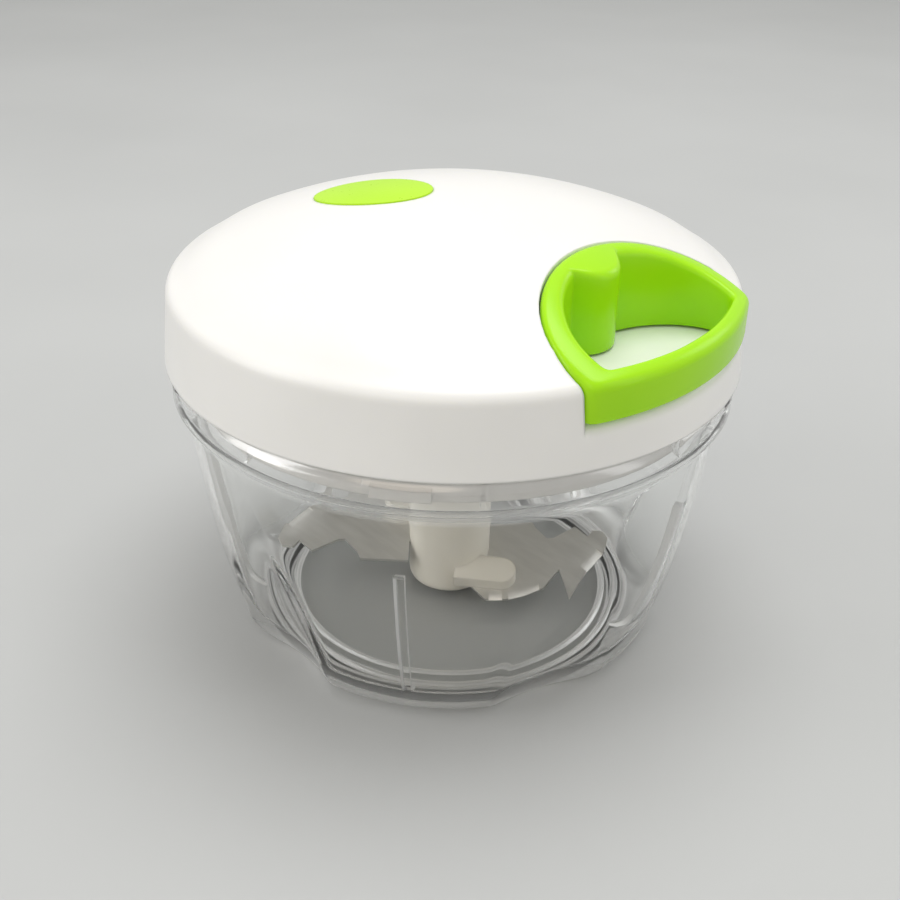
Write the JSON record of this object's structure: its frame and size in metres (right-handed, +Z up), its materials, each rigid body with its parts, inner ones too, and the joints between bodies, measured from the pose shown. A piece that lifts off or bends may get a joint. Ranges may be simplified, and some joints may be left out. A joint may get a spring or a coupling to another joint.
{
  "type": "pull-string food chopper",
  "caption": "Hand food chopper: a clear lobed bowl with a bladed spindle, under a domed lid whose docked loop handle pulls a cord that spins the blades.",
  "frame": {"origin": "on the table, under the centre of the bowl", "axes": "+Z up along the spindle, +X towards the handle"},
  "size_m": [0.125, 0.125, 0.0985],
  "materials": {
    "clear_plastic": "clear, glossy",
    "white_plastic": "satin gloss",
    "green_plastic": "gloss",
    "blade_steel": "ground",
    "steel": "turned",
    "spring_steel": "blued",
    "silicone": "matte",
    "acetal": "matte",
    "cord": "braided"
  },
  "bodies": {
    "bowl": {"bowl": "clear_plastic", "pivot_pin": "steel"},
    "seal": {"lid_seal": "silicone"},
    "lid": {"lid_cover": "white_plastic", "oval_inlay": "green_plastic", "lid_base": "white_plastic", "lid_screws": "steel", "drive_bush": "acetal", "reel_axle": "steel", "axle_washer": "steel", "axle_screw": "steel", "mainspring": "spring_steel", "cord_lead": "cord", "cord_eyelet": "acetal"},
    "reel": {"reel": "acetal", "spring_cover": "acetal", "cord_winding": "cord", "drive_coupling": "acetal"},
    "handle": {"handle": "green_plastic", "cord_knot": "cord", "handle_plug": "green_plastic"},
    "blade": {"blade_spindle": "white_plastic", "blade_low": "blade_steel", "blade_middle": "blade_steel", "blade_high": "blade_steel"}
  },
  "joints": [
    {"name": "lid_lift", "type": "slide", "parent": "bowl", "child": "seal", "axis": [0, 0, 1], "range_m": [0, 0.1]},
    {"name": "lid_twist", "type": "hinge", "parent": "seal", "child": "lid", "pos_m": [0, 0, 0.067], "axis": [0, 0, 1], "range_deg": [-20, 0]},
    {"name": "reel_spin", "type": "hinge", "parent": "lid", "child": "reel", "pos_m": [0, 0, 0.079], "axis": [0, 0, 1], "range_deg": [0, 990], "stiffness_Nm_per_rad": 0.008, "springref_deg": -286.48, "deforming": ["mainspring"]},
    {"name": "handle_pull", "type": "slide", "parent": "lid", "child": "handle", "axis": [1, 0, 0], "range_m": [0, 0.385], "deforming": ["cord_lead"]},
    {"name": "blade_spin", "type": "hinge", "parent": "bowl", "child": "blade", "pos_m": [0, 0, 0.02], "axis": [0, 0, 1], "range_deg": [0, 990]}
  ],
  "couplings": [
    {"joint": "handle_pull", "follows": "reel_spin", "m_per_rad": 0.02225},
    {"joint": "blade_spin", "follows": "reel_spin", "ratio": 1}
  ]
}
